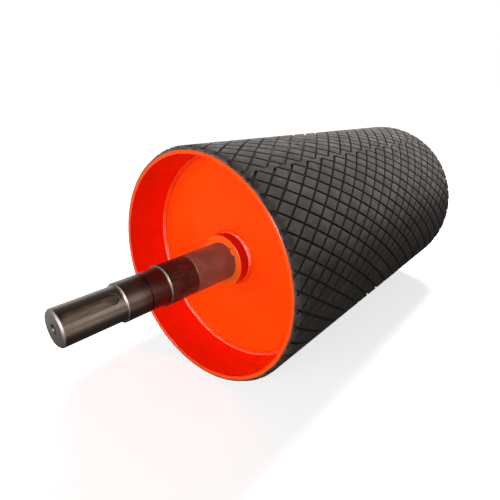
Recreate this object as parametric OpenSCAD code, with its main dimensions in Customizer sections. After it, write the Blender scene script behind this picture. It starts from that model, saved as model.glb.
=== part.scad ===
// Conveyor drive pulley drum: a welded steel drum with rubber lagging, keyed to its own shaft.
// Frame: +Y runs along the shaft, the drive end is at -Y, +Z is up, and the origin is on the axis
// at the middle of the drum. Clock angles are measured from +Z towards +X.

/* [Drum shell] */
// Length of the drum across its face
face_len = 1150; // [950:10:1400]
// Outside diameter of the bare steel shell
shell_d = 630; // [580:5:700]
// Wall thickness of the rolled shell
shell_wall = 10; // [8:1:14]
// Chamfer on both edges of the shell's end faces
shell_chamfer = 1.5; // [0.5:0.5:3]

/* [End discs] */
// Depth from the rim of the drum to the outer face of each end disc
disc_recess = 134; // [90:1:170]
// Thickness of each end disc
disc_thick = 16; // [12:1:25]
// Gap that the disc is cut short of the shell and of the hub, filled by the welds
plate_gap = 0.5; // [0.2:0.1:1]
// Leg of the fillet welds that join disc and shell
shell_weld_leg = 9; // [5:1:14]
// Leg of the fillet welds that join hub and disc
hub_weld_leg = 8; // [5:1:12]
// Height of the weld's crown over a flat fillet
weld_crown = 1.2; // [0.5:0.1:2]

/* [Hubs] */
// Outside diameter of each hub
hub_d = 150; // [146:1:175]
// Length of each hub along the shaft
hub_len = 100; // [85:1:130]
// How far each hub stands out from its end disc
hub_stand_out = 38; // [25:1:50]
// Chamfer on the hub's end faces
hub_chamfer = 1.5; // [0.5:0.5:3]

/* [Centre diaphragm] */
// Thickness of the stiffening plate in the middle of the drum
diaphragm_thick = 12; // [8:1:20]
// Diameter of the hole that the shaft passes through in the stiffening plate
diaphragm_hole_d = 260; // [160:10:400]
// Leg of the fillet welds that hold the stiffening plate
diaphragm_weld_leg = 6; // [4:1:9]

/* [Shaft] */
// Diameter of the drive journal, which carries the gearbox or coupling
journal_d = 85; // [76:1:88]
// Length of the drive journal
journal_len = 140; // [120:1:200]
// Diameter of both bearing seats
bearing_d = 95; // [91:1:100]
// Length of both bearing seats
bearing_len = 114; // [90:1:150]
// Diameter of the shaft between bearing seat and hub seat
collar_d = 105; // [102:0.5:105]
// Length of that stretch of shaft
collar_len = 85; // [60:1:130]
// How far the hub seats run out beyond the rim of the drum
seat_reach = 35; // [20:1:60]
// Diameter of the hub seats
seat_d = 106; // [106:0.5:112]
// How far the hub seats run on past the inner end of the hubs
seat_run_in = 15; // [5:1:30]
// Diameter of the shaft between the two hub seats
middle_d = 104; // [98:0.5:105]
// Chamfer on the ends of the shaft
end_chamfer = 3; // [1:0.5:4]
// Chamfer on each shoulder of the shaft
shoulder_chamfer = 1.5; // [0.5:0.25:1.75]
// Width of the groove turned in each bearing seat
groove_w = 2.5; // [1.5:0.5:5]
// Depth of that groove
groove_depth = 1.2; // [0.6:0.1:2.5]
// Distance from the outer end of the bearing seat to the middle of that groove
groove_from_end = 63; // [40:1:75]

/* [Centre holes] */
// Tapping diameter of the threaded centre hole in each end of the shaft
centre_hole_d = 17.5; // [10.2:0.1:21]
// Depth of the straight part of the centre hole
centre_hole_depth = 50; // [30:1:70]
// Mouth diameter of the 60 degree countersink of the centre hole
centre_mouth_d = 22; // [22:0.5:30]

/* [Keys and keyways] */
// Clock angle of the journal keyway
journal_key_clock = 44; // [0:1:359]
// Width of the journal keyway
journal_key_w = 22; // [18:1:25]
// Depth of the journal keyway below the journal's surface
journal_key_depth = 9; // [6:0.5:12]
// Length of the journal keyway, from the end of the shaft to its round inner end
journal_key_len = 124; // [80:1:130]
// Clock angle of the hub keyways
hub_key_clock = 50; // [0:1:359]
// Width of the hub keys
hub_key_w = 28; // [22:1:32]
// Height of the hub keys
hub_key_h = 16; // [12:1:18]
// Depth of the hub keyways in the shaft
hub_key_depth = 10; // [7:0.5:11]
// Length of the hub keys
hub_key_len = 96; // [70:1:110]
// How far the hub keys stand out of the hub's outer face
hub_key_stand_out = 3; // [0:0.5:8]
// Clearance over the key in the hub's keyway
hub_key_clearance = 0.4; // [0.1:0.1:1]

/* [Rubber lagging] */
// Thickness of the lagging
lagging_thick = 10; // [8:1:15]
// Rubber left under the grooves
lagging_base = 5; // [3:0.5:6]
// Clock angle of the butt seam between the first and the last sheet
seam_clock = 31; // [0:1:119]
// Width of the butt seams
seam_gap = 1.2; // [0.4:0.2:3]
// Length of the skived bevel at each end of the lagging
bevel_len = 12; // [6:1:25]
// Distance that the lagging stops short of the rim
lagging_set_back = 1; // [0:0.5:5]
// Width of the V grooves between the diamonds
lag_groove_w = 6.5; // [4:0.5:10]
// Number of diamonds along the face
count_along = 16; // [12:1:16]
// Number of half diamonds round one sheet
half_count_round = 30; // [24:1:30]

/* [Hidden] */

paint = [0.98, 0.29, 0.04];
weld_paint = [0.90, 0.24, 0.05];
steel = [0.27, 0.24, 0.22];
key_steel = [0.45, 0.43, 0.41];
rubber = [0.24, 0.23, 0.22];

// How far cutters run past the faces that they cut
eps = 1;
// Number of straight steps in the crown of a weld
crown_steps = 6;
// Number of sheets that the lagging is laid in, one node each
sheet_count = 3;
// Half diamonds by which the pattern of each sheet is shifted along the face
sheet_shifts = [0, 1, 1];
$fn = 96;

half_face = face_len / 2;
shell_r = shell_d / 2;
bore_r = shell_r - shell_wall;
disc_face = half_face - disc_recess;
disc_back = disc_face - disc_thick;
hub_face = disc_face + hub_stand_out;
hub_back = hub_face - hub_len;

// Stations along the shaft, counted outwards from the middle of the drum
seat_start = hub_back - seat_run_in;
seat_end = half_face + seat_reach;
collar_end = seat_end + collar_len;
bearing_end = collar_end + bearing_len;
journal_end = bearing_end + journal_len;

// The countersink of the centre hole narrows by its own radius drop over this depth
centre_cone = (centre_mouth_d - centre_hole_d) / 2 / tan(30);

// ---------- placing ----------

// Turns a shape made along +Z so that it lies along +Y
module along_shaft() rotate([-90, 0, 0]) children();

// The drive end is the mirror image of the far end
module far_end() children();
module drive_end() mirror([0, 1, 0]) children();

// Puts a shape that points up at a clock angle round the shaft
module at_clock(angle) rotate([0, angle, 0]) children();

// ---------- shaft ----------

// Half of the turned profile, from the middle of the drum outwards: points are [radius, station]
function seat_profile() = [
    [middle_d / 2, seat_start],
    [seat_d / 2 - shoulder_chamfer / 2, seat_start],
    [seat_d / 2, seat_start + shoulder_chamfer / 2],
    [seat_d / 2, seat_end - (seat_d - collar_d) / 2],
    [collar_d / 2, seat_end],
    [collar_d / 2, collar_end - shoulder_chamfer],
    [collar_d / 2 - shoulder_chamfer, collar_end],
    [bearing_d / 2, collar_end],
    [bearing_d / 2, bearing_end - groove_from_end - groove_w / 2],
    [bearing_d / 2 - groove_depth, bearing_end - groove_from_end - groove_w / 2],
    [bearing_d / 2 - groove_depth, bearing_end - groove_from_end + groove_w / 2],
    [bearing_d / 2, bearing_end - groove_from_end + groove_w / 2]];

function drive_profile() = concat(seat_profile(), [
    [bearing_d / 2, bearing_end - shoulder_chamfer],
    [bearing_d / 2 - shoulder_chamfer, bearing_end],
    [journal_d / 2, bearing_end],
    [journal_d / 2, journal_end - end_chamfer],
    [journal_d / 2 - end_chamfer, journal_end],
    [0, journal_end], [0, 0], [middle_d / 2, 0]]);

function far_profile() = concat(seat_profile(), [
    [bearing_d / 2, bearing_end - end_chamfer],
    [bearing_d / 2 - end_chamfer, bearing_end],
    [0, bearing_end], [0, 0], [middle_d / 2, 0]]);

// Centre hole in a shaft end that faces outwards at a station
module centre_hole(station) {
    along_shaft() {
        translate([0, 0, station - centre_hole_depth])
            cylinder(d = centre_hole_d, h = centre_hole_depth + eps);
        translate([0, 0, station - centre_cone])
            cylinder(d1 = centre_hole_d, d2 = centre_mouth_d, h = centre_cone);
    }
}

// Open keyway in the journal: it runs out through the end of the shaft, with a round inner end
module journal_keyway() {
    floor_z = journal_d / 2 - journal_key_depth;
    round_y = journal_end - journal_key_len + journal_key_w / 2;
    at_clock(journal_key_clock) {
        translate([-journal_key_w / 2, round_y, floor_z])
            cube([journal_key_w, journal_end - round_y + eps, journal_d / 2]);
        translate([0, round_y, floor_z])
            cylinder(d = journal_key_w, h = journal_d / 2);
    }
}

// A key with round ends that points up, from its floor to its top
module round_ended_key(width, length, height) {
    translate([-width / 2, -length + width / 2, 0])
        cube([width, length - width, height]);
    translate([0, -width / 2, 0])
        cylinder(d = width, h = height);
    translate([0, -length + width / 2, 0])
        cylinder(d = width, h = height);
}

// Places a shape that starts at the outer end of the hub key, on the floor of the shaft's keyway
module at_hub_key() {
    at_clock(hub_key_clock)
        translate([0, hub_face + hub_key_stand_out, seat_d / 2 - hub_key_depth])
            children();
}

module shaft() {
    color(steel)
        difference() {
            union() {
                far_end() along_shaft() rotate_extrude() polygon(far_profile());
                drive_end() along_shaft() rotate_extrude() polygon(drive_profile());
            }
            far_end() centre_hole(bearing_end);
            drive_end() centre_hole(journal_end);
            drive_end() journal_keyway();
            drive_end() at_hub_key() round_ended_key(hub_key_w, hub_key_len, seat_d / 2);
            far_end() at_hub_key() round_ended_key(hub_key_w, hub_key_len, seat_d / 2);
        }
}

module hub_key() color(key_steel) at_hub_key() round_ended_key(hub_key_w, hub_key_len, hub_key_h);

// ---------- welded drum ----------

module shell() {
    color(paint)
        along_shaft()
            rotate_extrude()
                polygon([
                    [bore_r, -half_face + shell_chamfer],
                    [bore_r + shell_chamfer, -half_face],
                    [shell_r - shell_chamfer, -half_face],
                    [shell_r, -half_face + shell_chamfer],
                    [shell_r, half_face - shell_chamfer],
                    [shell_r - shell_chamfer, half_face],
                    [bore_r + shell_chamfer, half_face],
                    [bore_r, half_face - shell_chamfer]]);
}

// Round plate with a round hole, from one station to another
module ring_plate(outer_r, inner_r, from, to) {
    along_shaft()
        difference() {
            translate([0, 0, from]) cylinder(r = outer_r, h = to - from);
            translate([0, 0, from - eps]) cylinder(r = inner_r, h = to - from + 2 * eps);
        }
}

module end_disc() color(paint) ring_plate(bore_r - plate_gap, hub_d / 2 + plate_gap, disc_back, disc_face);

module hub() {
    slot_h = hub_key_h - hub_key_depth + hub_key_clearance + seat_d / 2;
    color(paint)
        difference() {
            along_shaft()
                rotate_extrude()
                    polygon([
                        [seat_d / 2, hub_back],
                        [hub_d / 2 - hub_chamfer, hub_back],
                        [hub_d / 2, hub_back + hub_chamfer],
                        [hub_d / 2, hub_face - hub_chamfer],
                        [hub_d / 2 - hub_chamfer, hub_face],
                        [seat_d / 2, hub_face]]);
            at_clock(hub_key_clock)
                translate([-hub_key_w / 2, hub_back - eps, 0])
                    cube([hub_key_w, hub_len + 2 * eps, slot_h]);
        }
}

module centre_diaphragm() {
    color(paint)
        ring_plate(bore_r - plate_gap, diaphragm_hole_d / 2, -diaphragm_thick / 2, diaphragm_thick / 2);
}

// ---------- fillet welds ----------

// Crowned fillet in the corner at [0, 0], with one leg along +X and the other along +Y
function fillet_points(leg) = concat([[0, 0]], [
    for (k = [0 : crown_steps])
        let (t = k / crown_steps, crown = weld_crown * sin(180 * t) / sqrt(2))
            [leg * (1 - t) + crown, leg * t + crown]]);

// Ring weld round the shaft. side_r is +1 where the bead lies outside its corner's radius and -1
// where it lies inside; side_y is +1 where it lies outwards of its station and -1 where inwards.
module ring_weld(corner_r, station, leg, side_r, side_y) {
    color(weld_paint)
        along_shaft()
            rotate_extrude()
                translate([corner_r, station])
                    polygon([for (p = fillet_points(leg)) [p[0] * side_r, p[1] * side_y]]);
}

module weld_shell_outer() ring_weld(bore_r, disc_face, shell_weld_leg, -1, 1);
module weld_shell_inner() ring_weld(bore_r, disc_back, shell_weld_leg, -1, -1);
module weld_hub_outer() ring_weld(hub_d / 2, disc_face, hub_weld_leg, 1, 1);
module weld_hub_inner() ring_weld(hub_d / 2, disc_back, hub_weld_leg, 1, -1);
module weld_diaphragm() ring_weld(bore_r, diaphragm_thick / 2, diaphragm_weld_leg, -1, 1);

// ---------- rubber lagging ----------

// The pattern is a lattice of half diamonds: step i counts along the face and step j round the
// sheet. A diamond block is centred where i + j is even, and grooves cross where it is odd. A sheet
// whose $shift is 1 has the two changed over, so its grooves don't meet those of its neighbour.
sheet_arc = 360 / sheet_count - seam_gap / shell_r * 180 / PI;
steps_along = 2 * count_along;
steps_round = half_count_round;
lag_end = half_face - lagging_set_back;
step_y = 2 * (lag_end - bevel_len) / steps_along;
step_a = sheet_arc / steps_round;
lag_top_r = shell_r + lagging_thick;
lag_floor_r = shell_r + lagging_base;

// Distance from the middle of a cell to its side, and the share of the cell that its block fills
step_w = lag_top_r * step_a * PI / 180;
cell_reach = step_y * step_w / sqrt(step_y * step_y + step_w * step_w);
block_share = 1 - lag_groove_w / 2 / cell_reach;

// The flat facets of the underside clear the round shell
lag_under_r = shell_r / cos(step_a / 2);

function lag_angle(j) = seam_clock + seam_gap / 2 / shell_r * 180 / PI + j * step_a;
function lag_point(r, y, j) = [r * sin(lag_angle(j)), y, r * cos(lag_angle(j))];
function lattice_y(i) = -lag_end + bevel_len + i * step_y;
function top_at(i, j) = lag_point(lag_top_r, lattice_y(i), j);
function crossing_at(i, j) = lag_point(lag_floor_r, lattice_y(i), j);
function is_block(i, j) = (i + j + $shift) % 2 == 0;

// The two halves of a block's top, cut where the block meets the edge of the sheet
function block_top(i, j) =
    let (
        i0 = max(i - block_share, 0), i1 = min(i + block_share, steps_along),
        j0 = max(j - block_share, 0), j1 = min(j + block_share, steps_round))
    [
        if (j > j0) [top_at(i0, j), top_at(i1, j), top_at(i, j0)],
        if (j1 > j) [top_at(i0, j), top_at(i, j1), top_at(i1, j)]];

// The groove wall on one of the four sides of a block: di and dj are +1 or -1
function groove_wall(i, j, di, dj) =
    let (
        p = top_at(i + di * block_share, j), q = top_at(i, j + dj * block_share),
        p_low = crossing_at(i + di, j), q_low = crossing_at(i, j + dj))
    di * dj > 0 ? [[p, q, q_low], [p, q_low, p_low]] : [[q, p, p_low], [q, p_low, q_low]];

function in_sheet(i, j) = i >= 0 && i <= steps_along && j >= 0 && j <= steps_round;

// Steps along the face and radii of the cut edge at the seam on line j
function seam_profile(j) = [
    for (k = [0 : steps_along])
        each is_block(k, j)
            ? [
                [max(k - block_share, 0), lag_top_r],
                [min(k + block_share, steps_along), lag_top_r]]
            : [[k, lag_floor_r]]];

// Radius of the pattern where line j meets the inner edge of the bevel
function edge_r(j) = is_block(0, j) ? lag_top_r : lag_floor_r;

// Place on that edge, between lines j and j + 1, where the block's top ends
function block_side(j) = is_block(0, j) ? j + block_share : j + 1 - block_share;

function reversed(list) = [for (k = [len(list) - 1 : -1 : 0]) list[k]];

// Bevel and end face at one end of the sheet: side is -1 or +1
function end_faces(side) =
    let (y_in = side * (lag_end - bevel_len), y_out = side * lag_end)
    [
        for (j = [0 : steps_round - 1])
            let (
                a_in = lag_point(edge_r(j), y_in, j),
                m_in = lag_point(lag_top_r, y_in, block_side(j)),
                b_in = lag_point(edge_r(j + 1), y_in, j + 1),
                a_out = lag_point(lag_floor_r, y_out, j),
                b_out = lag_point(lag_floor_r, y_out, j + 1),
                a_low = lag_point(lag_under_r, y_out, j),
                b_low = lag_point(lag_under_r, y_out, j + 1),
                faces = [
                    [a_in, a_out, m_in], [m_in, a_out, b_out], [m_in, b_out, b_in],
                    [a_out, a_low, b_low], [a_out, b_low, b_out]])
            for (f = faces) side < 0 ? f : reversed(f)];

function underside() = [
    for (j = [0 : steps_round - 1])
        let (
            a = lag_point(lag_under_r, -lag_end, j),
            b = lag_point(lag_under_r, -lag_end, j + 1),
            c = lag_point(lag_under_r, lag_end, j + 1),
            d = lag_point(lag_under_r, lag_end, j))
        each [[a, d, c], [a, c, b]]];

// Flat face of the butt seam on line j of the lattice
function seam_face(j) = concat(
    [lag_point(lag_under_r, -lag_end, j), lag_point(lag_floor_r, -lag_end, j)],
    [for (p = seam_profile(j)) lag_point(p[1], lattice_y(p[0]), j)],
    [lag_point(lag_floor_r, lag_end, j), lag_point(lag_under_r, lag_end, j)]);

// Numbers the corners of a list of faces, each of which keeps its own points. The faces above run
// anticlockwise seen from outside, and polyhedron() takes them clockwise.
function face_indices(faces) = [
    for (k = 0, start = 0; k < len(faces); start = start + len(faces[k]), k = k + 1)
        [for (v = [len(faces[k]) - 1 : -1 : 0]) start + v]];

module lagging_sheet(number) {
    $shift = sheet_shifts[number - 1];
    faces = concat(
        [for (i = [0 : steps_along], j = [0 : steps_round]) if (is_block(i, j)) each block_top(i, j)],
        [
            for (i = [0 : steps_along], j = [0 : steps_round], di = [-1, 1], dj = [-1, 1])
                if (is_block(i, j) && in_sheet(i + di, j + dj)) each groove_wall(i, j, di, dj)],
        end_faces(-1), end_faces(1), underside(),
        [seam_face(0), reversed(seam_face(steps_round))]);
    color(rubber)
        rotate([0, 360 / sheet_count * (number - 1), 0])
            polyhedron(points = [for (f = faces) each f], faces = face_indices(faces), convexity = 10);
}

// ---------- the pieces ----------

shaft();
shell();
lagging_sheet(1);  // lagging_sheet_1
lagging_sheet(2);  // lagging_sheet_2
lagging_sheet(3);  // lagging_sheet_3
drive_end() end_disc();  // end_disc_drive
far_end() end_disc();  // end_disc_far
drive_end() hub();  // hub_drive
far_end() hub();  // hub_far
drive_end() hub_key();  // hub_key_drive
far_end() hub_key();  // hub_key_far
centre_diaphragm();
drive_end() weld_shell_outer();  // weld_shell_drive_outer
drive_end() weld_shell_inner();  // weld_shell_drive_inner
far_end() weld_shell_outer();  // weld_shell_far_outer
far_end() weld_shell_inner();  // weld_shell_far_inner
drive_end() weld_hub_outer();  // weld_hub_drive_outer
drive_end() weld_hub_inner();  // weld_hub_drive_inner
far_end() weld_hub_outer();  // weld_hub_far_outer
far_end() weld_hub_inner();  // weld_hub_far_inner
drive_end() weld_diaphragm();  // weld_diaphragm_drive_side
far_end() weld_diaphragm();  // weld_diaphragm_far_side
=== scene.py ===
"""Looks of the conveyor pulley drum: a welded, orange enamelled drum with diamond grooved rubber
lagging, keyed to a turned steel shaft. Metres; +Y runs along the shaft and the drive end is at -Y.
Clock angles are measured round the shaft from +Z towards +X."""

import math
import random

import bmesh
import bpy
from mathutils import Matrix, Vector


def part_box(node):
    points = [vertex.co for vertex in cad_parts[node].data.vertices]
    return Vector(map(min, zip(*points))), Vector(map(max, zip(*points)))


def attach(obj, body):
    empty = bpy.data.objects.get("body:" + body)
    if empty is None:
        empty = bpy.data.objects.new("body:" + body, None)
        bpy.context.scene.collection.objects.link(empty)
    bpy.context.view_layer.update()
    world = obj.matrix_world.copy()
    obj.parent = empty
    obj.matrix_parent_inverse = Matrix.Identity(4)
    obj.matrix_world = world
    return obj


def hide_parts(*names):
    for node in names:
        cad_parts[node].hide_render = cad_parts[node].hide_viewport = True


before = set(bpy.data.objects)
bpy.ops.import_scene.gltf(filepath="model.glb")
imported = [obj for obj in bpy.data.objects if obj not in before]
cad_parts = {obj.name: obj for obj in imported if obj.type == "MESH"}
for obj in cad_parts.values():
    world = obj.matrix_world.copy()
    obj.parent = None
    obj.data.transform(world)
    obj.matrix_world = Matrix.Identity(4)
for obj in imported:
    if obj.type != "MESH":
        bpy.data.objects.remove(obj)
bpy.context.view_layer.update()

MM = 0.001
TAU = 2 * math.pi

# ---------- sizes read from the frame ----------

SHELL_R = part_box("shell")[1].x
HALF_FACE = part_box("shell")[1].y
BORE_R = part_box("weld_shell_drive_outer")[1].x
DISC_FACE = -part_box("end_disc_drive")[0].y
DISC_BACK = -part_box("end_disc_drive")[1].y
DISC_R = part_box("end_disc_drive")[1].x
HUB_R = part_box("hub_drive")[1].x
HUB_FACE = -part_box("hub_drive")[0].y
HUB_BACK = -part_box("hub_drive")[1].y
TIP = -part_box("shaft")[0].y
FAR_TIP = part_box("shaft")[1].y
LAG_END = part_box("lagging_sheet_1")[1].y
SHEETS = ["lagging_sheet_1", "lagging_sheet_2", "lagging_sheet_3"]
LAG_TOP_R = max(abs(c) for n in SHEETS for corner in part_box(n) for c in (corner.x, corner.z))

# ---------- sizes that the boxes don't hold, as in the CAD source ----------

SEAT_R = 53.0 * MM
COLLAR_R = 52.5 * MM
BEARING_R = 47.5 * MM
JOURNAL_R = 42.5 * MM
MIDDLE_R = 52.0 * MM
SEAT_START = 364.0 * MM
SEAT_END = 610.0 * MM
COLLAR_END = 695.0 * MM
BEARING_END = 809.0 * MM
GROOVE_AT = 746.0 * MM
GROOVE_W = 2.5 * MM
GROOVE_DEPTH = 1.2 * MM
SHOULDER_CHAMFER = 1.5 * MM
FAR_CHAMFER = 3.0 * MM
HOLE_R = 8.75 * MM
HOLE_DEPTH = 50.0 * MM
HOLE_MOUTH_R = 11.0 * MM
HOLE_CONE = 3.9 * MM
JOURNAL_KEY_DEPTH = 9.0 * MM
HUB_KEY_CLOCK = math.radians(50)
HUB_KEY_W = 28.0 * MM
HUB_KEY_LEN = 96.0 * MM
HUB_KEY_DEPTH = 10.0 * MM
HUB_KEY_OUT = 3.0 * MM
HUB_SLOT_TOP = 59.4 * MM
PLATE_GAP = 0.5 * MM
SHELL_WELD_LEG = 9.0 * MM
HUB_WELD_LEG = 8.0 * MM
LAG_THICK = 10.0 * MM
LAG_BASE = 5.0 * MM
LAG_BEVEL = 12.0 * MM
SEAM_CLOCK = math.radians(31)
SEAM_GAP = 1.2 * MM
SHEET_ARC = TAU / 3
STEPS_ALONG = 32
STEPS_ROUND = 30

# ---------- sizes that are finer here than in the CAD source ----------

# The journal's keyway is closed and square towards the tip, and round at its inner end.
JOURNAL_KEY_CLOCK = math.radians(45)
JOURNAL_KEY_W = 25.0 * MM
JOURNAL_KEY_FROM_END = 6.0 * MM
JOURNAL_KEY_LEN = 123.0 * MM
TIP_CHAMFER = 4.0 * MM
# Radii of the broken edges.
SHAFT_CORNER = 1.0 * MM
SHELL_CORNER = 1.4 * MM
DISC_CORNER = 0.8 * MM
HUB_CORNER = 1.6 * MM
# The rubber's height at the foot of its end bevel, and how far in the cut end looks scuffed.
LAG_EDGE_H = 3.2 * MM
LAG_SCUFF = 4.0 * MM

# Room for rounding when a face or a corner is picked by its place.
SLACK = 0.1 * MM
SAME_PLACE = 1e-6
SAME_POINT = 1e-7


# ---------- mesh helpers ----------

SHARP_DEG = 32
SHAFT_SEGMENTS = 192
DRUM_SEGMENTS = 256
SLOT_END_STEPS = 24
CORNER_STEP_DEG = 22.5
# A corner that turns by less than this stays as it is, in radians.
NEARLY_STRAIGHT = 0.02
# An arc takes at most this share of the sides that meet in its corner.
SIDE_SHARE = 0.45


def mesh_object(name, bm):
    """Puts a bmesh into the scene as an object at the origin."""
    mesh = bpy.data.meshes.new(name)
    bm.to_mesh(mesh)
    bm.free()
    obj = bpy.data.objects.new(name, mesh)
    bpy.context.scene.collection.objects.link(obj)
    return obj


def shade_smooth(mesh, sharp_deg):
    """Smooth shading that breaks at edges sharper than the angle."""
    for polygon in mesh.polygons:
        polygon.use_smooth = True
    mesh.set_sharp_from_angle(angle=math.radians(sharp_deg))


def weight_normals(obj):
    """Keeps flat faces flat beside their rounded corners."""
    obj.modifiers.new("flat_faces_stay_flat", "WEIGHTED_NORMAL").keep_sharp = True


def finish_mesh(name, bm, sharp_deg=SHARP_DEG):
    """Turns a bmesh into a smooth shaded object."""
    bmesh.ops.recalc_face_normals(bm, faces=bm.faces[:])
    obj = mesh_object(name, bm)
    shade_smooth(obj.data, sharp_deg)
    return obj


def rounded(points, radius):
    """The open line of (r, y, share) points with each corner turned into an arc of radius * share."""
    out = [points[0][:2]]
    for before, here, after in zip(points, points[1:], points[2:]):
        p = Vector(here[:2])
        a = Vector(before[:2]) - p
        b = Vector(after[:2]) - p
        size = radius * here[2]
        turn = math.pi - a.angle(b)
        if size == 0 or turn < NEARLY_STRAIGHT:
            out.append(tuple(p))
            continue
        reach = min(size * math.tan(turn / 2), SIDE_SHARE * a.length, SIDE_SHARE * b.length)
        size = reach / math.tan(turn / 2)
        start = p + a.normalized() * reach
        end = p + b.normalized() * reach
        centre = p + (a.normalized() + b.normalized()).normalized() * (size / math.cos(turn / 2))
        steps = max(1, math.ceil(math.degrees(turn) / CORNER_STEP_DEG))
        for k in range(steps + 1):
            arm = (start - centre).lerp(end - centre, k / steps)
            if arm.length > 1e-9:
                arm = arm.normalized() * size
            out.append(tuple(centre + arm))
    out.append(points[-1][:2])
    return out


def corner_ring(points, radius):
    """A closed ring profile, its corners rounded: points are (r, y)."""
    marked = [(r, y, 1) for r, y in points]
    line = rounded([marked[-1]] + marked + [marked[0]], radius)
    return line[1:-1]


def lathe(profile, segments, closed):
    """Turns a profile of (r, y) round the shaft. A point on the axis becomes a pole."""
    bm = bmesh.new()
    rings = []
    for r, y in profile:
        if r < SAME_POINT:
            rings.append([bm.verts.new((0, y, 0))])
            continue
        ring = []
        for k in range(segments):
            angle = TAU * k / segments
            ring.append(bm.verts.new((r * math.sin(angle), y, r * math.cos(angle))))
        rings.append(ring)
    pairs = list(zip(rings, rings[1:]))
    if closed:
        pairs.append((rings[-1], rings[0]))
    for low, high in pairs:
        for k in range(segments):
            n = (k + 1) % segments
            if len(low) == 1:
                bm.faces.new((low[0], high[n], high[k]))
            elif len(high) == 1:
                bm.faces.new((low[k], low[n], high[0]))
            else:
                bm.faces.new((low[k], low[n], high[n], high[k]))
    return bm


def slot_cutter(name, half_width, y_from, y_to, low, high, clock, round_from, round_to):
    """A milling cutter's path: a bar from low to high above the axis, with round or square ends."""
    outline = []
    for y, side, is_round in ((y_to, 1, round_to), (y_from, -1, round_from)):
        if not is_round:
            outline += [(side * half_width, y), (-side * half_width, y)]
            continue
        middle = y - side * half_width
        for k in range(SLOT_END_STEPS + 1):
            angle = math.pi * k / SLOT_END_STEPS
            x = side * half_width * math.cos(angle)
            outline.append((x, middle + side * half_width * math.sin(angle)))
    bm = bmesh.new()
    bottom = [bm.verts.new((x, y, low)) for x, y in outline]
    top = [bm.verts.new((x, y, high)) for x, y in outline]
    bm.faces.new(bottom)
    bm.faces.new(list(reversed(top)))
    for k in range(len(outline)):
        n = (k + 1) % len(outline)
        bm.faces.new((bottom[k], top[k], top[n], bottom[n]))
    bmesh.ops.rotate(bm, verts=bm.verts[:], matrix=Matrix.Rotation(clock, 3, "Y"), cent=(0, 0, 0))
    bmesh.ops.recalc_face_normals(bm, faces=bm.faces[:])
    return mesh_object(name, bm)


def cut_away(obj, cutters):
    """Subtracts the cutters from the object, then removes them."""
    for cutter in cutters:
        modifier = obj.modifiers.new("cut", "BOOLEAN")
        modifier.operation = "DIFFERENCE"
        modifier.solver = "EXACT"
        modifier.object = cutter
    bpy.context.view_layer.update()
    depsgraph = bpy.context.evaluated_depsgraph_get()
    mesh = bpy.data.meshes.new_from_object(obj.evaluated_get(depsgraph), depsgraph=depsgraph)
    obj.modifiers.clear()
    obj.data = mesh
    for cutter in cutters:
        bpy.data.objects.remove(cutter)
    bm = bmesh.new()
    bm.from_mesh(mesh)
    bmesh.ops.remove_doubles(bm, verts=bm.verts[:], dist=SAME_POINT)
    bmesh.ops.dissolve_degenerate(bm, edges=bm.edges[:], dist=SAME_POINT)
    bmesh.ops.recalc_face_normals(bm, faces=bm.faces[:])
    bm.to_mesh(mesh)
    bm.free()
    shade_smooth(mesh, SHARP_DEG)


def waves(seed, low, high, count):
    """A smooth noise round the shaft, within about -1 to 1, as a function of the angle: as many
    waves as count says, each with low to high periods in a turn."""
    draw = random.Random(seed)
    parts = [(draw.randint(low, high), draw.uniform(0, TAU), draw.uniform(0.5, 1)) for _ in range(count)]
    total = math.sqrt(sum(a * a for _, _, a in parts) / 2) * 1.6
    return lambda angle: sum(a * math.sin(n * angle + p) for n, p, a in parts) / total


# ---------- shader helpers ----------

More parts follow.
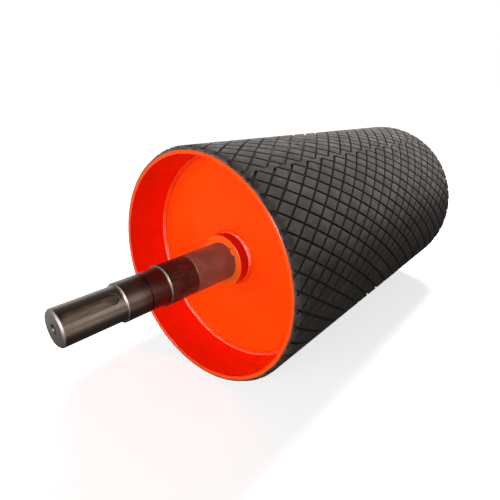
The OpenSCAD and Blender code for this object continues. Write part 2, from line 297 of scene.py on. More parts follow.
class Shader:
    """A node material, built with short calls that return output sockets."""

    def __init__(self, name, tree=None):
        if tree is None:
            self.material = bpy.data.materials.new(name)
            self.material.use_nodes = True
            tree = self.material.node_tree
        self.tree = tree
        tree.nodes.clear()

    def node(self, kind, values=(), out=0, **settings):
        made = self.tree.nodes.new(kind)
        for key, value in settings.items():
            setattr(made, key, value)
        for key, value in dict(values).items():
            if isinstance(value, bpy.types.NodeSocket):
                self.tree.links.new(value, made.inputs[key])
            else:
                made.inputs[key].default_value = value
        return made.outputs[out]

    def math(self, operation, a, b=0.0):
        return self.node("ShaderNodeMath", {0: a, 1: b}, operation=operation)

    def product(self, *factors):
        """The factors multiplied: masks that all have to hold."""
        result = factors[0]
        for factor in factors[1:]:
            result = self.math("MULTIPLY", result, factor)
        return result

    def length(self, a, b):
        """How long a line is that goes a one way and b the other way."""
        return self.math("SQRT", self.math("ADD", self.product(a, a), self.product(b, b)))

    def place(self):
        """Place on the object, in metres of the frame."""
        return self.node("ShaderNodeTexCoord", out="Object")

    def axes(self, where):
        """The x, y and z of a place or a direction."""
        made = self.tree.nodes.new("ShaderNodeSeparateXYZ")
        self.tree.links.new(where, made.inputs[0])
        return made.outputs[0], made.outputs[1], made.outputs[2]

    def noise(self, where, scale, detail, rough, distortion=0.0):
        return self.node("ShaderNodeTexNoise", {
            "Vector": where,
            "Scale": scale,
            "Detail": detail,
            "Roughness": rough,
            "Distortion": distortion,
        }, out="Fac")

    def turned(self, radial, axial, around):
        """Coordinates that run in rings round the shaft, as a turning tool leaves them."""
        x, y, z = self.axes(self.place())
        return self.node("ShaderNodeCombineXYZ", {
            "X": self.product(self.length(x, z), radial),
            "Y": self.product(y, axial),
            "Z": self.product(self.math("ARCTAN2", x, z), around),
        })

    def span(self, value, low, high, to_low=0.0, to_high=1.0):
        """Takes low to high over to to_low to to_high, with soft ends, and clamps what lies outside."""
        values = {"Value": value, "From Min": low, "From Max": high, "To Min": to_low, "To Max": to_high}
        return self.node("ShaderNodeMapRange", values, interpolation_type="SMOOTHSTEP", clamp=True)

    def blend(self, share, a, b):
        made = self.tree.nodes.new("ShaderNodeMix")
        made.data_type = "RGBA"
        for socket, value in ((0, share), (6, a), (7, b)):
            if isinstance(value, bpy.types.NodeSocket):
                self.tree.links.new(value, made.inputs[socket])
            else:
                made.inputs[socket].default_value = value
        return made.outputs[2]

    def bump(self, height, distance, strength, under=None):
        values = {"Height": height, "Distance": distance, "Strength": strength}
        if under is not None:
            values["Normal"] = under
        return self.node("ShaderNodeBump", values)

    def edge_mask(self, radius, low, high):
        """How close a point is to a sharp edge, from the difference that a rounded edge would make."""
        soft = self.node("ShaderNodeBevel", {"Radius": radius}, samples=6)
        true = self.node("ShaderNodeNewGeometry", out="Normal")
        return self.span(self.dot(soft, true), high, low)

    def dot(self, a, b):
        return self.node("ShaderNodeVectorMath", {0: a, 1: b}, out="Value", operation="DOT_PRODUCT")

    def surface(self, values):
        self.output(self.node("ShaderNodeBsdfPrincipled", values))
        return self.material

    def output(self, shader, kind="ShaderNodeOutputMaterial"):
        made = self.tree.nodes.new(kind)
        self.tree.links.new(shader, made.inputs["Surface"])


def rgb(red, green, blue):
    """A colour from the usual 0 to 255 display values, as linear light."""
    def linear(v):
        v = v / 255
        return v / 12.92 if v <= 0.04045 else ((v + 0.055) / 1.055) ** 2.4
    return (linear(red), linear(green), linear(blue), 1.0)


# ---------- materials ----------

def enamel(name, colour, deep, gloss=0.06, rough=(0.22, 0.32), lumps=0.0, peel_depth=0.0006):
    """Sprayed enamel: orange peel, a breath of dust, and chips along sharp edges. Lumps is the
    depth of the spatter under it on a weld."""
    s = Shader(name)
    place = s.place()
    broad = s.noise(place, 5.0, 3.0, 0.5)
    tone = s.blend(s.span(broad, 0.3, 0.7), colour, deep)
    dust = s.span(s.noise(place, 70.0, 6.0, 0.7), 0.66, 0.82, 0.0, 0.08)
    tone = s.blend(dust, tone, rgb(226, 110, 70))
    edge = s.edge_mask(1.0 * MM, 0.80, 0.97)
    flake = s.span(s.noise(place, 150.0, 5.0, 0.7), 0.62, 0.66)
    chip = s.product(edge, flake, 0.35)
    tone = s.blend(chip, tone, rgb(120, 52, 34))
    fine = s.noise(place, 420.0, 2.0, 0.5)
    peel = s.math("ADD", s.product(broad, 0.4), s.product(fine, 0.12))
    normal = s.bump(peel, peel_depth, 0.4)
    if lumps:
        spatter = s.noise(place, 130.0, 5.0, 0.75)
        normal = s.bump(spatter, lumps, 1.0, normal)
    soft = s.span(s.noise(place, 24.0, 4.0, 0.6), 0.25, 0.75, rough[0], rough[1])
    soft = s.math("ADD", soft, s.product(chip, 0.3))
    return s.surface({
        "Base Color": tone,
        "Roughness": soft,
        "IOR": 1.45,
        "Specular IOR Level": gloss,
        "Normal": normal,
    })


def steel_ground(s, bright, dark, film, rough):
    """Tool marks, colour and roughness that all turned steel shares: bright metal with darker
    bands, under patches of a thin film of oil."""
    marks = s.noise(s.turned(1500.0, 1500.0, 0.6), 1.0, 3.0, 0.6)
    bands = s.noise(s.turned(220.0, 220.0, 0.3), 1.0, 3.0, 0.6)
    patches = s.noise(s.place(), 11.0, 4.0, 0.55)
    tone = s.blend(s.span(bands, 0.3, 0.7, 0.0, 0.3), bright, dark)
    tone = s.blend(s.span(patches, 0.35, 0.7, 0.0, 0.7), tone, film)
    tone = s.blend(s.span(marks, 0.35, 0.75, 0.0, 0.12), tone, dark)
    soft = s.math("ADD", s.span(patches, 0.35, 0.7, rough[0], rough[1]), s.product(bands, 0.05))
    return marks, tone, soft


def steel_surface(s, marks, tone, soft, metal):
    return s.surface({
        "Base Color": tone,
        "Metallic": metal,
        "Roughness": soft,
        "Normal": s.bump(marks, 0.00003, 0.25),
    })


def turned_steel(name, bright, dark, film, rough):
    """Plain turned steel, its fine tool marks in rings."""
    s = Shader(name)
    marks, tone, soft = steel_ground(s, bright, dark, film, rough)
    return steel_surface(s, marks, tone, soft, 1.0)


def keyway_rim_highlight(s, x, y, z, r):
    """A painted highlight round the inner end of the journal's keyway, on the side nearer the top. The
    last factor leaves out the side of the shaft that lies opposite."""
    middle = -TIP + JOURNAL_KEY_FROM_END + JOURNAL_KEY_LEN - 0.5 * JOURNAL_KEY_W
    sin = math.sin(JOURNAL_KEY_CLOCK)
    cos = math.cos(JOURNAL_KEY_CLOCK)
    across = s.math("SUBTRACT", s.product(x, cos), s.product(z, sin))
    outward = s.math("ADD", s.product(x, sin), s.product(z, cos))
    inward = s.math("SUBTRACT", y, middle)
    off = s.math("SUBTRACT", s.length(across, inward), 0.5 * JOURNAL_KEY_W)
    return s.product(
        s.span(off, 1.6 * MM, 2.6 * MM, 1.0, 0.0),
        s.span(inward, 0.0, 4 * MM),
        s.span(across, -2 * MM, 6 * MM, 1.0, 0.0),
        s.span(r, JOURNAL_R - 0.2 * MM, JOURNAL_R - 0.1 * MM),
        s.span(outward, 0.0, 5 * MM),
    )


def shaft_steel(name):
    """The shaft's steel: turned and oiled, browner towards the drum, with a duller ground hub seat, a
    milled keyway with its walls painted dark as shade and a painted highlight round its inner end, a
    grey turned end whose centre hole is painted dark as shade, and painted shade in the bearing
    seat's thin groove."""
    s = Shader(name)
    marks, tone, soft = steel_ground(
        s, rgb(154, 140, 128), rgb(116, 102, 92), rgb(124, 108, 96), (0.25, 0.31))
    place = s.place()
    x, y, z = s.axes(place)
    r = s.length(x, z)
    along = s.math("ABSOLUTE", y)

    # The bearing seat, which darkens towards its groove and stays dark from there to the collar.
    on_bearing = s.span(along, BEARING_END - 2 * MM, BEARING_END, 1.0, 0.0)
    tone = s.blend(on_bearing, tone, s.blend(0.45, tone, rgb(104, 80, 72)))
    past_groove = s.span(along, GROOVE_AT, GROOVE_AT + 35 * MM, 1.0, 0.0)
    tone = s.blend(past_groove, tone, s.blend(0.75, tone, rgb(80, 62, 55)))

    # The collar, darker, duller and mottled.
    on_collar = s.span(along, COLLAR_END - 0.5 * MM, COLLAR_END + 0.5 * MM, 1.0, 0.0)
    rubs = s.noise(s.turned(160.0, 26.0, 5.0), 1.0, 5.0, 0.7)
    collar_tone = s.blend(s.span(rubs, 0.42, 0.66), rgb(66, 58, 52), rgb(92, 81, 73))
    tone = s.blend(on_collar, tone, collar_tone)

    # The ground hub seat.
    on_seat = s.span(along, SEAT_END - 0.5 * MM, SEAT_END + 0.2 * MM, 1.0, 0.0)
    clouds = s.span(s.noise(place, 26.0, 4.0, 0.6), 0.35, 0.7)
    tone = s.blend(on_seat, tone, s.blend(clouds, rgb(122, 111, 98), rgb(144, 131, 116)))

    # The milled keyway of the journal: its floor, its walls painted dark as shade, and a painted highlight
    # round its inner rim.
    on_journal = s.span(y, -BEARING_END - 0.5 * MM, -BEARING_END, 1.0, 0.0)
    milled = s.product(
        s.span(r, JOURNAL_R - 0.9 * MM, JOURNAL_R - 0.5 * MM, 1.0, 0.0),
        s.span(y, -TIP + TIP_CHAMFER, -TIP + TIP_CHAMFER + 0.5 * MM),
        on_journal,
        s.span(r, HOLE_MOUTH_R + 4 * MM, HOLE_MOUTH_R + 5 * MM),
    )
    streaks = s.noise(s.node("ShaderNodeMapping", {"Vector": place, "Scale": (600, 30, 600)}), 1.0, 4.0, 0.7)
    floor_tone = s.blend(s.span(streaks, 0.36, 0.62), rgb(78, 67, 56), rgb(128, 113, 96))
    tone = s.blend(milled, tone, floor_tone)
    from_axis = s.node("ShaderNodeCombineXYZ", {"X": x, "Z": z})
    outward = s.node("ShaderNodeVectorMath", {0: from_axis}, operation="NORMALIZE")
    facing = s.dot(outward, s.node("ShaderNodeNewGeometry", out="Normal"))
    # Painted shade: the keyway's walls, the faces that don't face outward, darkened.
    tone = s.blend(s.product(milled, s.span(facing, 0.3, 0.7, 1.0, 0.0)), tone, rgb(58, 46, 36))
    # Painted highlight: a pale rim round the inner end of the keyway.
    tone = s.blend(s.product(keyway_rim_highlight(s, x, y, z, r), on_journal), tone, rgb(226, 214, 202))

    # The faced end, and its centre hole painted dark as shade.
    on_tip = s.span(y, -TIP + 0.1 * MM, -TIP + 0.5 * MM, 1.0, 0.0)
    tone = s.blend(on_tip, tone, rgb(120, 111, 101))
    in_hole = s.span(r, HOLE_MOUTH_R, HOLE_MOUTH_R + 0.3 * MM, 1.0, 0.0)
    # Painted shade: the centre hole darkened.
    tone = s.blend(in_hole, tone, rgb(74, 65, 58))

    # The thin groove of the bearing seat, painted dark as shade.
    groove_off = s.math("ABSOLUTE", s.math("SUBTRACT", along, GROOVE_AT))
    grooved = s.span(groove_off, 0.5 * GROOVE_W, 0.5 * GROOVE_W + 0.3 * MM, 1.0, 0.0)
    tone = s.blend(grooved, tone, rgb(34, 24, 20))

    for mask, rougher in ((s.math("MAXIMUM", milled, on_seat), 0.14), (on_collar, 0.06), (in_hole, 0.2)):
        soft = s.math("ADD", soft, s.product(mask, rougher))
    metal = 1.0
    for mask, duller in ((milled, 0.75), (on_collar, 0.4), (on_seat, 0.1)):
        metal = s.math("SUBTRACT", metal, s.product(mask, duller))
    return steel_surface(s, marks, tone, soft, metal)


def key_steel(name, coat):
    """Ground key steel, with the drum's enamel sprayed over the end that shows at the hub's face."""
    s = Shader(name)
    marks, tone, soft = steel_ground(
        s, rgb(172, 168, 162), rgb(120, 114, 108), rgb(110, 92, 78), (0.25, 0.35))
    along = s.math("ABSOLUTE", s.axes(s.place())[1])
    sprayed = s.span(along, HUB_FACE - 3 * MM, HUB_FACE - 1 * MM)
    tone = s.blend(sprayed, tone, coat)
    soft = s.math("ADD", soft, s.product(sprayed, 0.25))
    return steel_surface(s, marks, tone, soft, s.math("SUBTRACT", 1.0, sprayed))


def lagging_rubber(name):
    """Moulded rubber: every diamond a little different, smeared with pale dust, polished in
    patches, dark at the bottom of its grooves, and scuffed along its cut ends."""
    s = Shader(name)
    place = s.place()
    height = s.node("ShaderNodeAttribute", out="Fac", attribute_name="lag_height")
    tone_of = s.node("ShaderNodeAttribute", out="Fac", attribute_name="lag_tone")
    from_end = s.math("SUBTRACT", LAG_END, s.math("ABSOLUTE", s.axes(place)[1]))
    grey = s.blend(tone_of, rgb(48, 44, 41), rgb(60, 55, 51))
    smear = s.noise(place, 14.0, 6.0, 0.68, 0.8)
    grey = s.blend(s.span(smear, 0.50, 0.70, 0.0, 0.55), grey, rgb(84, 78, 71))
    grey = s.blend(s.span(smear, 0.46, 0.30, 0.0, 0.6), grey, rgb(40, 37, 35))
    cloudy = s.span(s.noise(place, 60.0, 6.0, 0.7), 0.35, 0.72)
    grey = s.blend(s.product(cloudy, 0.35), grey, rgb(80, 75, 70))
    speck = s.span(s.noise(place, 900.0, 3.0, 0.6), 0.55, 0.8, 0.0, 0.3)
    grey = s.blend(speck, grey, rgb(104, 100, 94))
    wall = s.span(height, 0.70, 0.99)
    bottom = s.span(height, 0.50, 0.60)
    grooved = s.blend(wall, s.blend(bottom, rgb(30, 24, 21), rgb(44, 37, 33)), grey)
    scratches = s.span(s.noise(place, 60.0, 5.0, 0.7), 0.4, 0.65)
    scuffed = s.blend(scratches, rgb(46, 39, 34), rgb(88, 82, 78))
    bevel = s.span(from_end, LAG_SCUFF - 2 * MM, LAG_SCUFF, 1.0, 0.0)
    grain = s.noise(place, 1400.0, 3.0, 0.6)
    polish = s.span(s.noise(place, 24.0, 5.0, 0.66, 0.5), 0.46, 0.58)
    return s.surface({
        "Base Color": s.blend(bevel, grooved, scuffed),
        "Roughness": s.math("SUBTRACT", s.span(cloudy, 0.0, 1.0, 0.44, 0.60), s.product(polish, 0.16)),
        "Specular IOR Level": 0.3,
        "Normal": s.bump(grain, 0.0003, 0.5),
    })


# ---------- the steel pieces ----------

def coat_whole(obj, material):
    """One material for the whole piece, and the piece's slot."""
    obj.data.materials.clear()
    obj.data.materials.append(material)


def ride_for(obj, material, node):
    """Puts the piece in the place of a CAD node."""
    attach(obj, "root")
    coat_whole(obj, material)
    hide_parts(node)


def other_coat(obj, material, is_coated):
    """Gives another material to the faces of a piece that pass the test."""
    obj.data.materials.append(material)
    last = len(obj.data.materials) - 1
    for face in obj.data.polygons:
        if is_coated(face):
            face.material_index = last


def off_axis(face):
    return math.hypot(face.center.x, face.center.z)


def threaded_hole(end, outward):
    """Profile of a threaded centre hole, from its drilled point out to its mouth."""
    pitch = 2.5 * MM
    depth = 1.1 * MM
    drill_point = 5.0 * MM
    run_out = 5.0 * MM
    line = [
        (0.0, end - outward * (HOLE_DEPTH + drill_point), 0),
        (HOLE_R, end - outward * HOLE_DEPTH, 0),
    ]
    turns = int((HOLE_DEPTH - HOLE_CONE - run_out) / pitch)
    for k in range(turns):
        y = end - outward * (HOLE_DEPTH - run_out - k * pitch)
        line += [(HOLE_R, y, 0), (HOLE_R + depth, y + outward * 0.5 * pitch, 0)]
    line += [(HOLE_R, end - outward * HOLE_CONE, 0), (HOLE_MOUTH_R, end, 0.5)]
    return line


def shaft_half(outward):
    """Profile of one half of the shaft between the middle and its bearing seat: the radius and the
    station of each point, and its share of the corner radius."""
    def at(r, station, share):
        return (r, outward * station, share)
    chamfer = SHOULDER_CHAMFER
    return [
        at(MIDDLE_R, SEAT_START, 1.0),
        at(SEAT_R - chamfer / 2, SEAT_START, 0.3),
        at(SEAT_R, SEAT_START + chamfer / 2, 0.3),
        at(SEAT_R, SEAT_END - 0.6 * MM, 0.3),
        at(COLLAR_R, SEAT_END, 0.3),
        at(COLLAR_R, COLLAR_END - chamfer, 0.4),
        at(COLLAR_R - chamfer, COLLAR_END, 0.4),
        at(BEARING_R, COLLAR_END, 1.6),
        at(BEARING_R, GROOVE_AT - GROOVE_W / 2, 0.3),
        at(BEARING_R - GROOVE_DEPTH, GROOVE_AT - GROOVE_W / 2, 0.4),
        at(BEARING_R - GROOVE_DEPTH, GROOVE_AT + GROOVE_W / 2, 0.4),
        at(BEARING_R, GROOVE_AT + GROOVE_W / 2, 0.3),
    ]


def make_shaft(material, rubbed):
    """The turned shaft with its three keyways, and rubbed steel on its chamfers."""
    chamfer = SHOULDER_CHAMFER
    drive = threaded_hole(-TIP, -1) + [
        (JOURNAL_R - TIP_CHAMFER, -TIP, 0.6),
        (JOURNAL_R, -TIP + TIP_CHAMFER, 0.6),
        (JOURNAL_R, -BEARING_END, 1.2),
        (BEARING_R - chamfer, -BEARING_END, 0.4),
        (BEARING_R, -BEARING_END + chamfer, 0.4),
    ]
    far = [
        (BEARING_R, FAR_TIP - FAR_CHAMFER, 0.6),
        (BEARING_R - FAR_CHAMFER, FAR_TIP, 0.6),
    ] + list(reversed(threaded_hole(FAR_TIP, 1)))
    line = drive + list(reversed(shaft_half(-1))) + shaft_half(1) + far
    shaft = finish_mesh("shaft_turned", lathe(rounded(line, SHAFT_CORNER), SHAFT_SEGMENTS, False))
    key_floor = SEAT_R - HUB_KEY_DEPTH
    square_end = -TIP + JOURNAL_KEY_FROM_END
    key_end = HUB_FACE + HUB_KEY_OUT
    cut_away(shaft, [
        slot_cutter("cut_journal", JOURNAL_KEY_W / 2, square_end, square_end + JOURNAL_KEY_LEN,
                    JOURNAL_R - JOURNAL_KEY_DEPTH, 2 * JOURNAL_R, JOURNAL_KEY_CLOCK, False, True),
        slot_cutter("cut_drive", HUB_KEY_W / 2, -key_end, -key_end + HUB_KEY_LEN,
                    key_floor, 2 * SEAT_R, HUB_KEY_CLOCK, True, True),
        slot_cutter("cut_far", HUB_KEY_W / 2, key_end - HUB_KEY_LEN, key_end,
                    key_floor, 2 * SEAT_R, HUB_KEY_CLOCK, True, True),
    ])
    weight_normals(shaft)
    ride_for(shaft, material, "shaft")
    corners = (
        (-TIP, JOURNAL_R, TIP_CHAMFER),
        (-BEARING_END, BEARING_R, chamfer),
        (-COLLAR_END, COLLAR_R, chamfer),
        (COLLAR_END, COLLAR_R, chamfer),
        (FAR_TIP, BEARING_R, FAR_CHAMFER),
    )

    def on_corner(face):
        sloped = 0.35 < abs(face.normal.y) < 0.94
        near = (abs(face.center.y - end) < size + SLACK and off_axis(face) > radius - size - SLACK
                for end, radius, size in corners)
        return sloped and any(near)

    other_coat(shaft, rubbed, on_corner)


def make_shell(bore_coat, end_coat, corner_coat):
    """The rolled shell, with its own coats on its end faces and their broken corners."""
    profile = corner_ring([
        (BORE_R, -HALF_FACE), (SHELL_R, -HALF_FACE), (SHELL_R, HALF_FACE), (BORE_R, HALF_FACE),
    ], SHELL_CORNER)
    shell = finish_mesh("shell_rolled", lathe(profile, DRUM_SEGMENTS, True))
    weight_normals(shell)
    ride_for(shell, bore_coat, "shell")
    face_from = HALF_FACE - SLACK
    corner_from = face_from - SHELL_CORNER
    other_coat(shell, end_coat, lambda face: abs(face.center.y) > face_from)
    other_coat(shell, corner_coat, lambda face: corner_from < abs(face.center.y) < face_from)


def make_disc(name, side, material, node):
    """An end disc, with a gap round the hub that the weld closes."""
    back = side * DISC_BACK
    front = side * DISC_FACE
    inner = HUB_R + PLATE_GAP
    profile = corner_ring([(inner, back), (DISC_R, back), (DISC_R, front), (inner, front)], DISC_CORNER)
    disc = finish_mesh(name, lathe(profile, DRUM_SEGMENTS, True))
    weight_normals(disc)
    ride_for(disc, material, node)


def make_hub(name, side, material, side_coat, corner_coat, node):
    """A hub with its keyway cut through, and its own coats on its side, a darker red painted as shade, and
    on its broken corners.
    """
    back = side * HUB_BACK
    front = side * HUB_FACE
    profile = corner_ring([(SEAT_R, back), (HUB_R, back), (HUB_R, front), (SEAT_R, front)], HUB_CORNER)
    hub = finish_mesh(name, lathe(profile, SHAFT_SEGMENTS, True))
    low, high = sorted((back, front))
    past = 10.0 * MM
    cut_away(hub, [slot_cutter("cut_hub", HUB_KEY_W / 2, low - past, high + past,
                               0.5 * SEAT_R, HUB_SLOT_TOP, HUB_KEY_CLOCK, False, False)])
    weight_normals(hub)
    ride_for(hub, material, node)
    other_coat(hub, side_coat, lambda face: off_axis(face) > HUB_R - 0.3 * MM)
    other_coat(hub, corner_coat, lambda face: 0.2 < abs(face.normal.y) < 0.97
               and off_axis(face) > HUB_R - HUB_CORNER)


def make_weld(name, side, corner_r, side_r, leg, material, node, seed):
    """A hand laid fillet bead on an end disc: uneven legs, a crown, and overlapping ripples round
    the shaft. From the corner it spreads over the disc outwards (side_r 1) or inwards (-1)."""
    root = 0.4 * MM
    crown = 1.1 * MM
    ripple_pitch = 4.2 * MM
    ripple_h = 0.45 * MM
    leg_sway = 0.07
    crown_sway = 0.18
    rhythm_sway = 0.7
    ripple_bow = 0.55
    fullness = 0.7
    slant = 0.7
    across = 11
    steps_per_ripple = 6
    ripples = round(TAU * corner_r / ripple_pitch)
    steps = ripples * steps_per_ripple
    low_leg = waves(seed, 5, 60, 14)
    high_leg = waves(seed + 1, 5, 60, 14)
    swell = waves(seed + 2, 12, 140, 16)
    rhythm = waves(seed + 3, 3, 25, 8)
    bm = bmesh.new()
    rings = []
    for k in range(steps):
        angle = TAU * k / steps
        leg_r = leg * (1 + leg_sway * low_leg(angle))
        leg_y = leg * (1 + leg_sway * high_leg(angle))
        section = [(-root, -root), (leg_r, -root)]
        for m in range(across):
            t = m / (across - 1)
            arch = math.sin(math.pi * t)
            phase = ripples * angle / TAU + rhythm_sway * rhythm(angle) + ripple_bow * arch
            hump = abs(math.sin(math.pi * phase))
            height = crown * (1 + crown_sway * swell(angle)) + ripple_h * (hump - 0.5)
            lift = arch ** fullness * height
            section.append((leg_r * (1 - t) + lift * slant, leg_y * t + lift * slant))
        section.append((-root, leg_y))
        ring = []
        for u, v in section:
            r = corner_r + side_r * u
            y = side * DISC_FACE + side * v
            ring.append(bm.verts.new((r * math.sin(angle), y, r * math.cos(angle))))
        rings.append(ring)
    count = len(rings[0])
    for k in range(steps):
        low, high = rings[k], rings[(k + 1) % steps]
        for m in range(count):
            n = (m + 1) % count
            bm.faces.new((low[m], low[n], high[n], high[m]))
    ride_for(finish_mesh(name, bm, sharp_deg=70), material, node)


# ---------- rubber lagging ----------

# Each ring of a diamond block: how far it lies in from the middle of the groove, and its height.
BLOCK_RINGS = [
    (2.55 * MM, LAG_BASE),
    (2.85 * MM, 5.35 * MM),
    (3.05 * MM, 9.3 * MM),
    (3.2 * MM, 9.75 * MM),
    (3.5 * MM, 9.95 * MM),
    (3.9 * MM, LAG_THICK),
]
# The flat sheet is cut at these steps before it is wrapped, and at these shares of its end bevels.
ARC_STEP = math.radians(2.0)
BEVEL_CUTS = (0.0, 0.3, 0.65)
# How far the sheet's underside stays off the shell.
UNDERSIDE = 0.05 * MM
# The slit that shows at a seam, and the plain margin beside it. The margin's inner edge wanders,
# and the margin gets narrower a little way in from the drive end.
SEAM_SHOWN = 0.35 * MM
SEAM_MARGIN = 2.5 * MM
SEAM_WANDER = 0.9 * MM
WANDER_WAVES = 6
SEAM_TAPER = 1.4 * MM
TAPER_FROM = -520.0 * MM
TAPER_TO = -300.0 * MM


def split(bm, point, normal, drop=False):
    """Cuts the mesh along a plane, and drops what lies on the normal's side if asked."""
    geometry = bm.verts[:] + bm.edges[:] + bm.faces[:]
    bmesh.ops.bisect_plane(
        bm, geom=geometry, dist=SAME_POINT, plane_co=point, plane_no=normal, clear_outer=drop)


def border_at(bm, s):
    """The border's edges that lie at one place round the drum."""
    return [e for e in bm.edges if e.is_boundary and all(abs(v.co.x - s) < SAME_PLACE for v in e.verts)]


def push_out(bm, edges, axis, value):
    """Extrudes border edges and moves the new corners to a value along one axis."""
    made = bmesh.ops.extrude_edge_only(bm, edges=edges)["geom"]
    for v in made:
        if isinstance(v, bmesh.types.BMVert):
            v.co[axis] = value
    bmesh.ops.remove_doubles(bm, verts=bm.verts[:], dist=2 * SAME_PLACE)


def diamond_field(bm, start, step_s, step_y, shift, draw):
    """Blocks and grooves in the flat: x runs round the drum, y along it, and z is the height."""
    tone = bm.faces.layers.float.new("lag_tone")
    crossings = {}
    reach = step_s * step_y / math.hypot(step_s, step_y)

    def corner(i, j, height):
        return Vector((start[0] + j * step_s, start[1] + i * step_y, height))

    def crossing(i, j):
        if (i, j) not in crossings:
            crossings[i, j] = bm.verts.new(corner(i, j, LAG_BASE))
        return crossings[i, j]

    for i in range(-1, STEPS_ALONG + 2):
        for j in range(0, STEPS_ROUND + 1):
            if (i + j + shift) % 2 == 1:
                continue
            shade = draw.random()
            rings = [[crossing(i, j + 1), crossing(i + 1, j), crossing(i, j - 1), crossing(i - 1, j)]]
            for inset, height in BLOCK_RINGS:
                share = 1 - inset / reach
                ring = []
                for di, dj in ((0, share), (share, 0), (0, -share), (-share, 0)):
                    ring.append(bm.verts.new(corner(i + di, j + dj, height)))
                rings.append(ring)
            for low, high in zip(rings, rings[1:]):
                for k in range(4):
                    n = (k + 1) % 4
                    bm.faces.new((low[k], low[n], high[n], high[k]))[tone] = shade
            bm.faces.new(rings[-1])[tone] = shade


def make_sheet(number, shift, material):
    """One sheet of lagging between two seams. It is laid out in the flat, and then wrapped round
    the shell, with its end bevels taken down on the way."""
    node = "lagging_sheet_%d" % number
    r = LAG_TOP_R
    draw = random.Random(number)
    clock_from = SEAM_CLOCK + (number - 1) * SHEET_ARC
    half_gap = SEAM_GAP / SHELL_R / 2
    field_from = (clock_from + half_gap) * r
    step_s = (SHEET_ARC - 2 * half_gap) * r / STEPS_ROUND
    y_in = LAG_END - LAG_BEVEL
    step_y = 2 * y_in / STEPS_ALONG
    s_low = clock_from * r + SEAM_SHOWN / 2
    s_high = (clock_from + SHEET_ARC) * r - SEAM_SHOWN / 2
    inner = (s_low + SEAM_MARGIN, s_high - SEAM_MARGIN)
    bm = bmesh.new()
    diamond_field(bm, (field_from, -y_in), step_s, step_y, shift, draw)
    split(bm, (inner[0], 0, 0), (-1, 0, 0), True)
    split(bm, (inner[1], 0, 0), (1, 0, 0), True)
    split(bm, (0, -LAG_END, 0), (0, -1, 0), True)
    split(bm, (0, LAG_END, 0), (0, 1, 0), True)
    for start, end in ((inner[0], s_low), (inner[1], s_high)):
        push_out(bm, border_at(bm, start), 2, LAG_THICK)
        push_out(bm, border_at(bm, start), 0, end)
    push_out(bm, [e for e in bm.edges if e.is_boundary], 2, UNDERSIDE)
    bmesh.ops.edgeloop_fill(bm, edges=[e for e in bm.edges if e.is_boundary])
    k = math.ceil(s_low / (r * ARC_STEP))
    while k * r * ARC_STEP < s_high:
        split(bm, (k * r * ARC_STEP, 0, 0), (1, 0, 0))
        k += 1
    for side in (-1, 1):
        for part in BEVEL_CUTS:
            split(bm, (0, side * (y_in + part * LAG_BEVEL), 0), (0, 1, 0))
    tall = bm.verts.layers.float.new("lag_height")
    wander = [(draw.uniform(0.04, 0.25) / MM, draw.uniform(0, TAU)) for _ in range(WANDER_WAVES)]
    for v in bm.verts:
        s, y, h = v.co
        near = [side for side, line in ((1, inner[0]), (-1, inner[1])) if abs(s - line) < SAME_PLACE]
        if near and h > UNDERSIDE:
            swing = sum(math.sin(rate * y + phase) for rate, phase in wander) / len(wander)
            away = min(1.0, max(0.0, (y - TAPER_FROM) / (TAPER_TO - TAPER_FROM)))
            s += near[0] * (SEAM_WANDER * swing - SEAM_TAPER * away)
        v[tall] = h / LAG_THICK
        over = max(0.0, abs(y) - y_in) / LAG_BEVEL
        h = min(h, LAG_THICK - (LAG_THICK - LAG_EDGE_H) * over)
        radius = SHELL_R + h
        v.co = (radius * math.sin(s / r), y, radius * math.cos(s / r))
    bmesh.ops.remove_doubles(bm, verts=bm.verts[:], dist=SAME_PLACE)
    sheet = finish_mesh("rubber_" + node, bm, sharp_deg=40)
    ride_for(sheet, material, node)
    return sheet


# ---------- build ----------

HUB_FACE_ORANGE = rgb(252, 94, 26)

orange = enamel("enamel_orange", rgb(251, 72, 7), rgb(249, 66, 5))
# The bore's enamel is redder and deeper than the disc's orange: painted shade and painted reflection of the
# orange inside the drum.
bore_red_shaded = enamel("enamel_shell_shaded", rgb(255, 42, 3), rgb(254, 40, 3), peel_depth=0.0001)
hub_orange = enamel("enamel_hub_face", HUB_FACE_ORANGE, rgb(250, 86, 20))
# The hub's side is a darker red than its face: painted shade.
hub_side_shaded = enamel("enamel_hub_side_shaded", rgb(214, 40, 8), rgb(200, 34, 6))
rim_coat = enamel("enamel_rim", rgb(245, 80, 24), rgb(240, 74, 18), gloss=0.1)
corner_coat = enamel(
    "enamel_corner", rgb(246, 76, 18), rgb(240, 66, 12), gloss=0.7, rough=(0.16, 0.24))
weld_coat = enamel(
    "enamel_weld", rgb(252, 72, 10), rgb(248, 64, 7), gloss=0.6, rough=(0.14, 0.22), lumps=0.0016)
steel = shaft_steel("steel_shaft")
rubbed_steel = turned_steel(
    "steel_rubbed", rgb(138, 132, 127), rgb(115, 109, 104), rgb(108, 100, 94), (0.42, 0.52))
key_bar = key_steel("steel_key", HUB_FACE_ORANGE)
rubber = lagging_rubber("rubber_lagging")

make_shaft(steel, rubbed_steel)
make_shell(bore_red_shaded, rim_coat, corner_coat)
SHELL_WELD_SEED = 10
HUB_WELD_SEED = 30
for end, side in (("drive", -1), ("far", 1)):
    make_disc("disc_plate_" + end, side, orange, "end_disc_" + end)
    make_hub("hub_turned_" + end, side, hub_orange, hub_side_shaded, corner_coat, "hub_" + end)
    make_weld("bead_shell_" + end, side, BORE_R, -1, SHELL_WELD_LEG, weld_coat,
              "weld_shell_" + end + "_outer", SHELL_WELD_SEED + side)
    make_weld("bead_hub_" + end, side, HUB_R, 1, HUB_WELD_LEG, weld_coat,
              "weld_hub_" + end + "_outer", HUB_WELD_SEED + side)

# The second and third sheets are laid half a diamond further round than the first.
lagging = [make_sheet(number, shift, rubber) for number, shift in ((1, 0), (2, 1), (3, 1))]

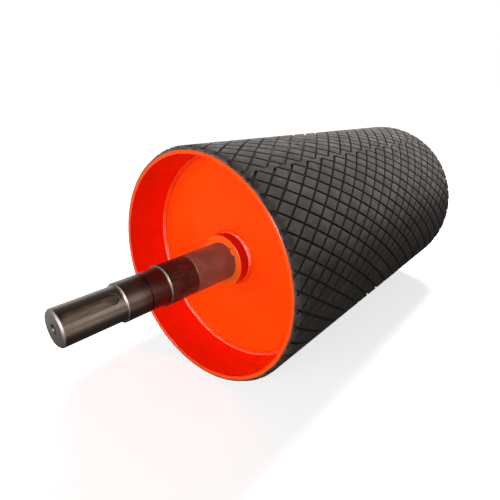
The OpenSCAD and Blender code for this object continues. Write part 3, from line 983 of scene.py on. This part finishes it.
# The keys and what is hidden inside the drum keep the CAD's shape, and get a material.
for material, slot, nodes in (
    (key_bar, "key_steel", ("hub_key_drive", "hub_key_far")),
    (orange, "paint", ("centre_diaphragm",)),
    (weld_coat, "weld_paint", (
        "weld_shell_drive_inner", "weld_shell_far_inner", "weld_hub_drive_inner",
        "weld_hub_far_inner", "weld_diaphragm_drive_side", "weld_diaphragm_far_side",
    )),
):
    for node in nodes:
        coat_whole(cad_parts[node], material)


# ---------- camera, floor and light ----------

# The camera's tilt below level and its turn are in radians, its lens in millimetres.
CAMERA_AT = (0.71409, -1.18503, 0.41165)
CAMERA_DOWN = 0.362
CAMERA_TURN = 0.7104
CAMERA_LENS = 27.344
FLOOR_HALF = 20.0
FLOOR_GAP = 0.5 * MM


def make_camera():
    data = bpy.data.cameras.new("camera")
    data.sensor_fit = "HORIZONTAL"
    data.sensor_width = 36.0
    data.lens = CAMERA_LENS
    data.clip_start = 0.01
    data.clip_end = 100.0
    camera = bpy.data.objects.new("camera", data)
    camera.location = CAMERA_AT
    camera.rotation_euler = (math.pi / 2 - CAMERA_DOWN, 0, CAMERA_TURN)
    bpy.context.scene.collection.objects.link(camera)
    bpy.context.scene.camera = camera


def make_floor():
    """A pale floor under the drum: white to the camera apart from the drum's shadow, dull as a
    source of stray light, and brighter off to the sides in a glossy surface."""
    bm = bmesh.new()
    bmesh.ops.create_grid(bm, x_segments=1, y_segments=1, size=FLOOR_HALF)
    floor = mesh_object("floor", bm)
    floor.location = (0, 0, -LAG_TOP_R - FLOOR_GAP)
    s = Shader("floor_white")
    away = s.node("ShaderNodeVectorMath", {0: s.place()}, out="Value", operation="LENGTH")
    seen = s.node("ShaderNodeAddShader", {
        0: s.node("ShaderNodeEmission", {"Strength": s.span(away, 0.8, 2.6, 0.74, 1.0)}),
        1: s.node("ShaderNodeBsdfDiffuse", {"Color": (0.5, 0.5, 0.5, 1)}),
    })
    dull = s.node("ShaderNodeBsdfDiffuse", {"Color": (0.16, 0.155, 0.15, 1)})
    x, y, _ = s.axes(s.place())
    aside = s.span(s.math("ABSOLUTE", x), 0.25, 1.0, 0.05, 0.85)
    left = s.span(x, -0.9, -0.5, 1.0, 0.0)
    in_front = s.span(y, -0.6, 0.0, 1.0, 0.2)
    strength = s.product(aside, s.math("MAXIMUM", left, in_front))
    mirrored = s.node("ShaderNodeEmission", {"Color": (1, 0.98, 0.95, 1), "Strength": strength})
    s.output(by_ray(s, seen, mirrored, dull))
    floor.data.materials.append(s.material)


def by_ray(s, seen, mirrored, other):
    """One shader for the camera's rays, one for glossy rays, and one for the rest."""
    rays = s.tree.nodes.new("ShaderNodeLightPath")
    other = s.node("ShaderNodeMixShader", {0: rays.outputs["Is Glossy Ray"], 1: other, 2: mirrored})
    return s.node("ShaderNodeMixShader", {0: rays.outputs["Is Camera Ray"], 1: other, 2: seen})


def make_world():
    """A white studio for the camera, a soft ambient light, and a band of brighter walls with a
    softbox in front for glossy surfaces."""
    world = bpy.data.worlds.new("studio")
    bpy.context.scene.world = world
    world.use_nodes = True
    s = Shader("studio", world.node_tree)
    _, y, z = s.axes(s.node("ShaderNodeTexCoord", out="Generated"))
    walls = s.span(z, 0.25, 0.8, 0.95, 0.08)
    softbox = s.product(s.span(y, -0.92, -0.75, 2.2, 0.0), s.span(z, 0.3, 0.55, 1.0, 0.0))
    shine = s.math("ADD", walls, softbox)
    white, mirrored, ambient = (
        s.node("ShaderNodeBackground", {"Color": (1, 1, 1, 1), "Strength": strength})
        for strength in (1.0, shine, 0.14))
    s.output(by_ray(s, white, mirrored, ambient), "ShaderNodeOutputWorld")


def make_lamp(name, place, aim, size, energy, glossy=True, diffuse=True):
    data = bpy.data.lights.new(name, "AREA")
    data.shape = "RECTANGLE"
    data.size, data.size_y = size
    data.energy = energy
    lamp = bpy.data.objects.new(name, data)
    lamp.location = place
    lamp.rotation_euler = (Vector(aim) - Vector(place)).to_track_quat("-Z", "Y").to_euler()
    lamp.visible_glossy = glossy
    lamp.visible_diffuse = diffuse
    bpy.context.scene.collection.objects.link(lamp)
    return lamp


def keep_lamp_off(lamp, objects):
    """The lamp leaves these objects out: at a flat angle, rubber would throw back a glare."""
    unlit = bpy.data.collections.new("unlit_by_" + lamp.name)
    for obj in objects:
        unlit.objects.link(obj)
    for item in unlit.collection_objects:
        item.light_linking.link_state = "EXCLUDE"
    lamp.light_linking.receiver_collection = unlit


make_camera()
make_floor()
make_world()
make_lamp("overhead", place=(-0.4, 1.7, 2.7), aim=(0, 0, 0), size=(1.2, 1.2), energy=310, glossy=False)
make_lamp("front", place=(0.2, -3.6, 0.2), aim=(0, -0.4, 0), size=(3.2, 2.0), energy=150)
glints = make_lamp(
    "glints", place=(1.6, -2.9, 1.4), aim=(0, -0.5, 0), size=(0.9, 0.9), energy=110, diffuse=False)
keep_lamp_off(glints, lagging)

bpy.context.scene.view_settings.view_transform = "Standard"
